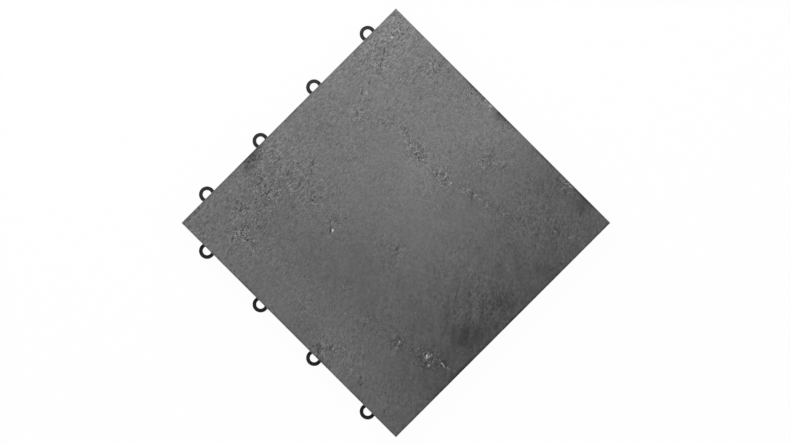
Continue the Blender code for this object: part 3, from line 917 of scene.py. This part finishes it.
def fill_clips(clips, look):
    """Roofs and posts on two sides, and rings on the other two."""
    posts = [facing(side, place) for side in ("+X", "+Y") for place in CLIP_PLACES]
    place_copies(clips, roof_mesh(look), posts)
    hung = Matrix.Translation((POST_CENTRE, 0, 0))
    place_copies(clips, post_mesh(look), [place @ hung for place in posts])
    rings = [facing(side, place) for side in ("-X", "-Y") for place in CLIP_PLACES]
    out = Matrix.Translation((RING_CENTRE, 0, 0))
    ring = turned_mesh("ring", ring_profile(look), look.ring_sides)
    place_copies(clips, ring, [place @ out for place in rings])


def boolean(target, name, operation, collection):
    made = target.modifiers.new(name, "BOOLEAN")
    made.operation = operation
    made.operand_type = "COLLECTION"
    made.collection = collection
    made.solver = "MANIFOLD"


def baked_mesh(item):
    graph = bpy.context.evaluated_depsgraph_get()
    return bpy.data.meshes.new_from_object(item.evaluated_get(graph))


def build_base(look):
    """The moulding as one closed mesh: walls joined, cups and pockets cut, then the clips joined."""
    base = bpy.data.objects.new("moulded_base", rim_mesh(look))
    bpy.context.scene.collection.objects.link(base)
    helpers = []
    for name, operation, fill in (
        ("walls", "UNION", fill_walls),
        ("cutters", "DIFFERENCE", fill_cutters),
        ("clips", "UNION", fill_clips),
    ):
        collection = bpy.data.collections.new(name)
        bpy.context.scene.collection.children.link(collection)
        fill(collection, look)
        boolean(base, name, operation, collection)
        helpers.append(collection)
    mesh = baked_mesh(base)
    mesh.materials.clear()
    base.modifiers.clear()
    for collection in helpers:
        for helper in list(collection.objects):
            bpy.data.objects.remove(helper, do_unlink=True)
        bpy.data.collections.remove(collection)
    mesh.shade_smooth()
    mesh.set_sharp_from_angle(angle=math.radians(look.sharp_turn))
    base.data = mesh
    evened = base.modifiers.new("evened", "WEIGHTED_NORMAL")
    evened.keep_sharp = True
    base.data = baked_mesh(base)
    base.modifiers.clear()
    return base


class Nodes:
    """Short calls for building a material's node tree."""

    def __init__(self, name):
        self.material = bpy.data.materials.new(name)
        self.material.use_nodes = True
        self.tree = self.material.node_tree
        self.shader = self.tree.nodes["Principled BSDF"]

    def add(self, kind, **settings):
        node = self.tree.nodes.new(kind)
        for key, value in settings.items():
            if key in node.inputs:
                node.inputs[key].default_value = value
            else:
                setattr(node, key, value)
        return node

    def link(self, source, target):
        self.tree.links.new(source, target)

    def noise(self, coordinates, scale, detail=2.0, roughness=0.5, bend=0.0):
        settings = {"Scale": scale, "Detail": detail, "Roughness": roughness, "Distortion": bend}
        node = self.add("ShaderNodeTexNoise", **settings)
        self.link(coordinates, node.inputs["Vector"])
        return node.outputs["Fac"]

    def stretched(self, coordinates, turn, scale):
        """Coordinates turned about Z first and scaled afterwards."""
        turned = self.add("ShaderNodeMapping", Rotation=(0, 0, turn))
        self.link(coordinates, turned.inputs["Vector"])
        node = self.add("ShaderNodeMapping", Scale=scale)
        self.link(turned.outputs["Vector"], node.inputs["Vector"])
        return node.outputs["Vector"]

    def spread(self, value, low, high, from_low=0.0, from_high=1.0):
        node = self.add("ShaderNodeMapRange")
        node.inputs["From Min"].default_value = from_low
        node.inputs["From Max"].default_value = from_high
        node.inputs["To Min"].default_value = low
        node.inputs["To Max"].default_value = high
        self.link(value, node.inputs["Value"])
        return node.outputs["Result"]

    def swing(self, value):
        """Stretches a noise's usual range to -1 to 1."""
        return self.spread(value, -1, 1, 0.3, 0.7)

    def math(self, operation, first, second):
        node = self.add("ShaderNodeMath", operation=operation)
        for socket, value in zip(node.inputs, (first, second)):
            if isinstance(value, (int, float)):
                socket.default_value = value
            else:
                self.link(value, socket)
        return node.outputs["Value"]

    def mix(self, factor, first, second):
        node = self.add("ShaderNodeMix", data_type="FLOAT")
        for socket, value in zip((node.inputs[0], node.inputs[2], node.inputs[3]), (factor, first, second)):
            if isinstance(value, (int, float)):
                socket.default_value = value
            else:
                self.link(value, socket)
        return node.outputs[0]

    def bump(self, height, distance, strength, normal=None):
        node = self.add("ShaderNodeBump", Distance=distance, Strength=strength)
        self.link(height, node.inputs["Height"])
        if normal is not None:
            self.link(normal, node.inputs["Normal"])
        return node.outputs["Normal"]


def grained_texture(nodes, place, look, scale, stretch, detail, bend):
    """Fine noise drawn out along the grain, which fans out as in the relief."""
    split = nodes.add("ShaderNodeSeparateXYZ")
    nodes.link(place, split.inputs["Vector"])
    low, high = [line * MM for line in FAN_FROM_TO]
    right = nodes.spread(split.outputs["X"], 0, 1, low, high)
    sides = []
    for side in (-1, 1):
        turned = nodes.stretched(place, -grain_angle(look, side), (stretch, 1, 1))
        sides.append(nodes.noise(turned, scale, detail, 0.5, bend))
    return nodes.mix(right, *sides)


def slate_material(look):
    """Riven face with fine mineral grain, and sawn sides that show the slate's layers."""
    nodes = Nodes("slate")
    place = nodes.add("ShaderNodeTexCoord").outputs["Object"]
    tone, lively, rough, sawn = [
        nodes.add("ShaderNodeAttribute", attribute_name=name).outputs["Fac"]
        for name in ("tone", "lively", "rough", "sawn")
    ]

    strokes = nodes.swing(grained_texture(nodes, place, look, STROKE_SCALE, 0.42, 1, 0.5))
    crests = nodes.swing(grained_texture(nodes, place, look, CREST_SCALE, 0.60, 1, 0.6))
    crests = nodes.spread(nodes.math("ABSOLUTE", crests, 0), 1, -1, 0, 1)
    marks = grained_texture(nodes, place, look, MARK_SCALE, 0.42, 2, 0.3)
    marks = nodes.spread(marks, 0, 1, 0.57, 0.70)
    specks = nodes.swing(nodes.noise(place, SPECK_SCALE, 1, 0.5))
    change = nodes.math("ADD", nodes.math("MULTIPLY", strokes, 0.25), nodes.math("MULTIPLY", specks, 0.30))
    # Painted highlight: the grain's crests are made lighter in the colour, as if lit, as well as raised in
    # the bump below.
    change = nodes.math("ADD", change, nodes.math("MULTIPLY", crests, 0.09))
    change = nodes.math("SUBTRACT", change, nodes.math("MULTIPLY", marks, 0.30))
    change = nodes.math("MULTIPLY", change, lively)
    flecks = nodes.math("MULTIPLY", nodes.math("MULTIPLY", specks, rough), 0.75)
    face = nodes.math("MULTIPLY", tone, nodes.math("ADD", nodes.math("ADD", change, flecks), 1.03))

    fine = nodes.noise(place, FINE_SCALE, 3, 0.6)
    layers = nodes.noise(nodes.stretched(place, 0, (0.06, 0.06, 1)), LAYER_SCALE, 3, 0.6)
    cut = nodes.math("MULTIPLY", nodes.spread(layers, *SAWN_SHADES), nodes.spread(fine, 0.85, 1.15))
    grey = nodes.mix(sawn, face, cut)
    colour = nodes.add("ShaderNodeCombineColor")
    for channel, tint in zip(("Red", "Green", "Blue"), look.tint):
        nodes.link(nodes.math("MULTIPLY", grey, tint), colour.inputs[channel])
    nodes.link(colour.outputs["Color"], nodes.shader.inputs["Base Color"])

    sheen = nodes.noise(place, SHEEN_SCALE, 3, 0.6)
    sheen = nodes.spread(sheen, look.roughness - 0.12, look.roughness + 0.12)
    nodes.link(nodes.mix(sawn, sheen, 0.8), nodes.shader.inputs["Roughness"])
    nodes.shader.inputs["Specular IOR Level"].default_value = SLATE_SPECULAR

    relief = nodes.math("ADD", nodes.math("MULTIPLY", strokes, 0.6), nodes.math("MULTIPLY", specks, 0.3))
    relief = nodes.math("SUBTRACT", nodes.math("ADD", relief, crests), marks)
    relief = nodes.math("MULTIPLY", relief, lively)
    relief = nodes.math("ADD", relief, nodes.math("MULTIPLY", specks, rough))
    relief = nodes.math("ADD", relief, nodes.math("MULTIPLY", fine, 0.5))
    relief = nodes.mix(sawn, relief, nodes.math("MULTIPLY", layers, 1.5))
    normal = nodes.bump(relief, look.bump_depth, 1.0)
    nodes.link(normal, nodes.shader.inputs["Normal"])
    return nodes.material


def plastic_material(look):
    """Black moulded plastic with a fine spark-eroded texture, a few paler rub marks, and painted light that
    makes it paler towards the corner at -X +Y, where the lamp stands.
    """
    nodes = Nodes("black_plastic")
    place = nodes.add("ShaderNodeTexCoord").outputs["Object"]
    texture = nodes.noise(place, MOULD_SCALE, 2, 0.5)
    rubs = nodes.noise(place, RUB_SCALE, 4, 0.6)
    split = nodes.add("ShaderNodeSeparateXYZ")
    nodes.link(place, split.inputs["Vector"])
    # Painted light: the colour grows paler towards the corner at -X +Y, the lamp's side, and the rub marks
    # are added to it.
    towards = nodes.math("SUBTRACT", split.outputs["Y"], split.outputs["X"])
    lit_and_rubbed = nodes.math("POWER", nodes.spread(towards, 0, 1, -2 * BASE_HALF, 2 * BASE_HALF), 2.0)
    lit_and_rubbed = nodes.math("ADD", nodes.math("MULTIPLY", lit_and_rubbed, 0.8), nodes.math("MULTIPLY", rubs, 0.3))
    base = nodes.add("ShaderNodeMix", data_type="RGBA")
    base.inputs[6].default_value = (*look.colour, 1)
    base.inputs[7].default_value = (*look.lamp_side_colour, 1)
    nodes.link(lit_and_rubbed, base.inputs[0])
    nodes.link(base.outputs[2], nodes.shader.inputs["Base Color"])
    rough = nodes.spread(rubs, look.roughness - 0.08, look.roughness + 0.1)
    nodes.link(rough, nodes.shader.inputs["Roughness"])
    nodes.shader.inputs["Specular IOR Level"].default_value = PLASTIC_SPECULAR
    nodes.link(nodes.bump(texture, MOULD_DEPTH, 0.8), nodes.shader.inputs["Normal"])
    return nodes.material


def add_area_lamp(name, aim, azimuth, elevation, distance, size, power):
    """A square lamp that looks at a point. Azimuth counts from +X towards +Y."""
    turn, lift = math.radians(azimuth), math.radians(elevation)
    ray = Vector((math.cos(lift) * math.cos(turn), math.cos(lift) * math.sin(turn), math.sin(lift)))
    data = bpy.data.lights.new(name, "AREA")
    data.size = size
    data.energy = power
    lamp = bpy.data.objects.new(name, data)
    lamp.location = aim + ray * distance
    lamp.rotation_euler = ray.to_track_quat("Z", "Y").to_euler()
    bpy.context.scene.collection.objects.link(lamp)


def camera_share(tree):
    """1 for rays that reach the camera straight, by a gloss or through glass, and 0 for others."""
    path = tree.nodes.new("ShaderNodeLightPath")
    total = path.outputs["Is Camera Ray"]
    for name in ("Is Glossy Ray", "Is Transmission Ray"):
        node = tree.nodes.new("ShaderNodeMath")
        node.operation = "ADD"
        node.use_clamp = True
        tree.links.new(total, node.inputs[0])
        tree.links.new(path.outputs[name], node.inputs[1])
        total = node.outputs["Value"]
    return total


def build_floor(stage):
    """A wide white floor, which the camera sees nearly white and which keeps the tile's soft shadow."""
    bm = bmesh.new()
    bmesh.ops.create_grid(bm, x_segments=1, y_segments=1, size=stage.floor_reach)
    mesh = bpy.data.meshes.new("floor")
    bm.to_mesh(mesh)
    bm.free()
    floor = bpy.data.objects.new("floor", mesh)
    bpy.context.scene.collection.objects.link(floor)
    material = bpy.data.materials.new("floor")
    material.use_nodes = True
    tree = material.node_tree
    shader = tree.nodes["Principled BSDF"]
    shader.inputs["Base Color"].default_value = (*stage.floor_colour, 1)
    shader.inputs["Roughness"].default_value = 1.0
    shader.inputs["Specular IOR Level"].default_value = 0.0
    glow = tree.nodes.new("ShaderNodeEmission")
    glow.inputs["Strength"].default_value = 1.0
    mix = tree.nodes.new("ShaderNodeMixShader")
    share = tree.nodes.new("ShaderNodeMath")
    share.operation = "MULTIPLY"
    share.inputs[1].default_value = stage.floor_glow
    tree.links.new(camera_share(tree), share.inputs[0])
    tree.links.new(share.outputs["Value"], mix.inputs[0])
    tree.links.new(shader.outputs["BSDF"], mix.inputs[1])
    tree.links.new(glow.outputs["Emission"], mix.inputs[2])
    tree.links.new(mix.outputs["Shader"], tree.nodes["Material Output"].inputs["Surface"])
    mesh.materials.append(material)


def build_world(stage):
    world = bpy.data.worlds.new("studio")
    world.use_nodes = True
    tree = world.node_tree
    background = tree.nodes["Background"]
    strength = tree.nodes.new("ShaderNodeMix")
    strength.data_type = "FLOAT"
    strength.inputs[2].default_value = stage.sky_strength
    strength.inputs[3].default_value = 1.0
    tree.links.new(camera_share(tree), strength.inputs[0])
    tree.links.new(strength.outputs[0], background.inputs["Strength"])
    background.inputs["Color"].default_value = (1, 1, 1, 1)
    bpy.context.scene.world = world


def build_camera(stage):
    """A long lens that looks straight down, turned so that the corner at -X +Y is uppermost."""
    data = bpy.data.cameras.new("camera")
    data.lens = stage.lens / MM
    data.sensor_fit = "HORIZONTAL"
    data.clip_end = 100
    pixel = (SLAB_HIGH.x - SLAB_LOW.x) / SLAB_SIDE_PX
    distance = PHOTO_WIDTH_PX * pixel * data.lens / data.sensor_width
    data.shift_x = -(SLAB_CENTRE_PX[0] - PHOTO_CENTRE_PX[0]) / PHOTO_WIDTH_PX
    data.shift_y = (SLAB_CENTRE_PX[1] - PHOTO_CENTRE_PX[1]) / PHOTO_WIDTH_PX
    up = Vector((-1, 1, 0)).normalized()
    right = Vector((1, 1, 0)).normalized()
    lean = math.radians(stage.camera_lean)
    back = Vector((0, 0, 1)) * math.cos(lean) + up * math.sin(lean)
    up = back.cross(right)
    camera = bpy.data.objects.new("camera", data)
    turn = Matrix((right, up, back)).transposed().to_4x4()
    camera.matrix_world = Matrix.Translation(Vector((0, 0, SLAB_HIGH.z)) + back * distance) @ turn
    bpy.context.scene.collection.objects.link(camera)
    bpy.context.scene.camera = camera


class SlateLook(bpy.types.PropertyGroup):
    grid_lines: IntProperty(
        name="Face lines", description="Lines of the riven face's mesh each way", default=280, min=40
    )
    side_rows: IntProperty(name="Side rows", description="Rows of faces down each side", default=10, min=3)
    relief_limit: FloatProperty(
        name="Relief limit", description="Deepest point of the riven face", default=0.0022, unit="LENGTH"
    )
    lamina_step: FloatProperty(
        name="Lamina step", description="Height of a step between laminae", default=0.00035, unit="LENGTH"
    )
    grain_depth: FloatProperty(
        name="Grain depth", description="Height of the face's fine grain", default=0.00010, unit="LENGTH"
    )
    grain_direction: FloatVectorProperty(
        name="Grain direction", description="Which way the streaks run", default=(0.40, -0.92), size=2
    )
    grain_fan: FloatProperty(
        name="Grain fan", description="How far the streaks turn at each side, in degrees", default=15
    )
    arris_wear: FloatProperty(
        name="Arris wear", description="How far the top edges are worn", default=0.0006, unit="LENGTH"
    )
    sharp_turn: FloatProperty(
        name="Sharp turn", description="Edges that turn more are shaded sharp, in degrees", default=50
    )
    roughness: FloatProperty(name="Roughness", description="Mean roughness of the face", default=0.62)
    bump_depth: FloatProperty(
        name="Bump depth", description="Depth of the grain too fine to model", default=0.00012, unit="LENGTH"
    )
    tint: FloatVectorProperty(
        name="Tint", description="Tint of the grey", default=(1.0, 1.0, 1.0), subtype="COLOR", size=3
    )


class BaseLook(bpy.types.PropertyGroup):
    edge_radius: FloatProperty(
        name="Edge radius", description="Rounding of the moulded edges", default=0.0003, unit="LENGTH"
    )
    edge_steps: IntProperty(name="Edge steps", description="Faces across a rounded edge", default=3, min=1)
    foot_edge_radius: FloatProperty(
        name="Foot edge", description="Rounding round the feet", default=0.0006, unit="LENGTH"
    )
    corner_steps: IntProperty(name="Corner steps", description="Faces in a corner", default=8, min=1)
    foot_sides: IntProperty(name="Foot sides", description="Faces round a foot", default=40, min=8)
    ring_sides: IntProperty(name="Ring sides", description="Faces round a ring", default=72, min=12)
    post_sides: IntProperty(name="Post sides", description="Faces round a post", default=28, min=6)
    sharp_turn: FloatProperty(
        name="Sharp turn", description="Edges that turn more are shaded sharp, in degrees", default=35
    )
    colour: FloatVectorProperty(
        name="Colour", description="Colour of the plastic", default=(0.018, 0.018, 0.0185), subtype="COLOR"
    )
    # Painted light: the paler colour that the plastic takes towards the lamp's corner.
    lamp_side_colour: FloatVectorProperty(
        name="Lamp side", description="Colour at the top corner", default=(0.041, 0.041, 0.042), subtype="COLOR"
    )
    roughness: FloatProperty(name="Roughness", description="Mean roughness", default=0.42)


class StageLook(bpy.types.PropertyGroup):
    lens: FloatProperty(name="Lens", description="Focal length", default=0.6, unit="CAMERA")
    camera_lean: FloatProperty(
        name="Camera lean", description="Lean towards the upper corner, in degrees", default=0.65
    )
    floor_reach: FloatProperty(
        name="Floor reach", description="Half the floor's width", default=12.0, unit="LENGTH"
    )
    floor_colour: FloatVectorProperty(
        name="Floor colour", description="Colour of the floor", default=(0.9, 0.9, 0.9), subtype="COLOR"
    )
    floor_glow: FloatProperty(
        name="Floor glow", description="Share of plain white in what the camera sees", default=0.97
    )
    sky_strength: FloatProperty(name="Sky strength", description="Even light from all round", default=0.5)
    key_power: FloatProperty(name="Key power", description="Power of the main lamp", default=23.5)
    key_azimuth: FloatProperty(name="Key azimuth", description="Side the main lamp is on", default=150.0)
    key_elevation: FloatProperty(name="Key elevation", description="Main lamp's height", default=48.0)


class TILE_OT_stage(bpy.types.Operator):
    """Adds the floor, the lamps, the world and the camera"""

    bl_idname = "tile.stage"
    bl_label = "Add Stage"

    def execute(self, context):
        stage = context.scene.tile_stage
        build_camera(stage)
        build_floor(stage)
        build_world(stage)
        aim = Vector((0, 0, SLAB_HIGH.z))
        place = (stage.key_azimuth, stage.key_elevation, KEY_DISTANCE)
        add_area_lamp("key", aim, *place, KEY_SIZE, stage.key_power)
        context.scene.view_settings.view_transform = "Standard"
        return {"FINISHED"}


class TILE_OT_slate(bpy.types.Operator):
    """Models the riven slate slab"""

    bl_idname = "tile.slate"
    bl_label = "Add Slate Slab"

    def execute(self, context):
        look = context.scene.tile_slate
        slab = build_slate(look)
        slab.data.materials.append(slate_material(look))
        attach(slab, "root")
        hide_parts("slate_slab")
        return {"FINISHED"}


class TILE_OT_base(bpy.types.Operator):
    """Models the moulded plastic base"""

    bl_idname = "tile.base"
    bl_label = "Add Plastic Base"

    def execute(self, context):
        look = context.scene.tile_base
        base = build_base(look)
        base.data.materials.append(plastic_material(look))
        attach(base, "root")
        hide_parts("base_grid")
        return {"FINISHED"}


class TILE_PT_panel(bpy.types.Panel):
    """Sizes and colours of the tile"""

    bl_idname = "TILE_PT_panel"
    bl_label = "Deck Tile"
    bl_space_type = "VIEW_3D"
    bl_region_type = "UI"
    bl_category = "Deck Tile"

    def draw(self, context):
        for settings, operator in (
            (context.scene.tile_slate, TILE_OT_slate.bl_idname),
            (context.scene.tile_base, TILE_OT_base.bl_idname),
            (context.scene.tile_stage, TILE_OT_stage.bl_idname),
        ):
            box = self.layout.box()
            for name in settings.bl_rna.properties.keys():
                if name not in ("rna_type", "name"):
                    box.prop(settings, name)
            box.operator(operator)


SETTINGS = (("tile_slate", SlateLook), ("tile_base", BaseLook), ("tile_stage", StageLook))
CLASSES = (TILE_OT_slate, TILE_OT_base, TILE_OT_stage, TILE_PT_panel)


def register():
    for name, group in SETTINGS:
        bpy.utils.register_class(group)
        setattr(bpy.types.Scene, name, PointerProperty(type=group))
    for item in CLASSES:
        bpy.utils.register_class(item)


def unregister():
    for item in reversed(CLASSES):
        bpy.utils.unregister_class(item)
    for name, group in reversed(SETTINGS):
        delattr(bpy.types.Scene, name)
        bpy.utils.unregister_class(group)


def main():
    """Builds the tile and its stage."""
    register()
    bpy.ops.tile.slate()
    bpy.ops.tile.base()
    bpy.ops.tile.stage()


if __name__ == "__main__":
    main()
